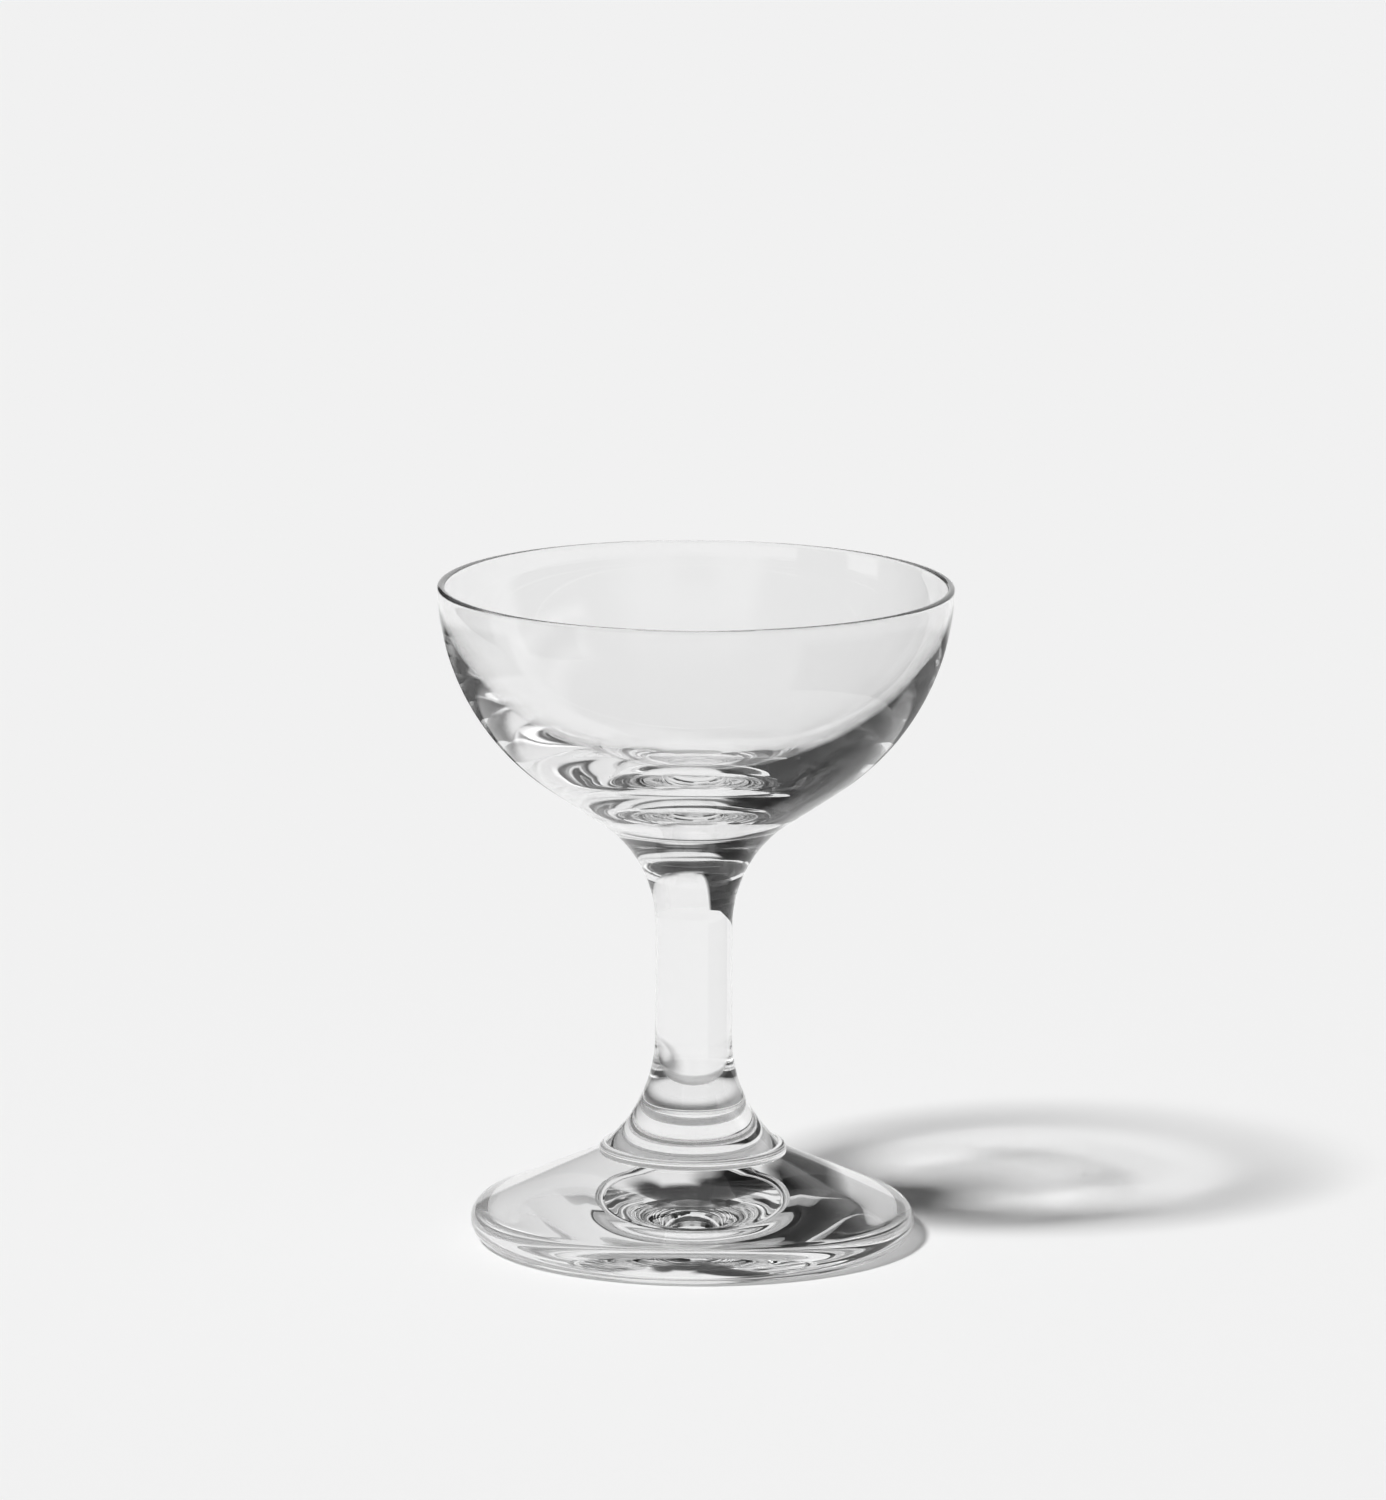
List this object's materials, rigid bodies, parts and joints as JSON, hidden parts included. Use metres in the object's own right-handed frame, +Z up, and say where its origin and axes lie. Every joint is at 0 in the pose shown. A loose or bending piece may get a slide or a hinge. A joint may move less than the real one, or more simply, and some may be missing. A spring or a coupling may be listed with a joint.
{
  "type": "liqueur glass",
  "caption": "Small footed coupe for liqueur in clear glass: open round bowl with a heavy base, short solid stem flared at both ends, joining collar and low conical foot with a round edge.",
  "frame": {"origin": "on the axis of the glass, in the plane that the foot stands on", "axes": "+Z up along the axis of the glass, from the foot to the rim; X and Y are equal, because every piece is turned about Z"},
  "size_m": [0.066, 0.066, 0.0852],
  "materials": {
    "clear_glass": "fire polished, colourless, very slightly wavy"
  },
  "bodies": {
    "root": {"bowl": "clear_glass", "stem": "clear_glass", "collar": "clear_glass", "foot": "clear_glass"}
  },
  "joints": []
}
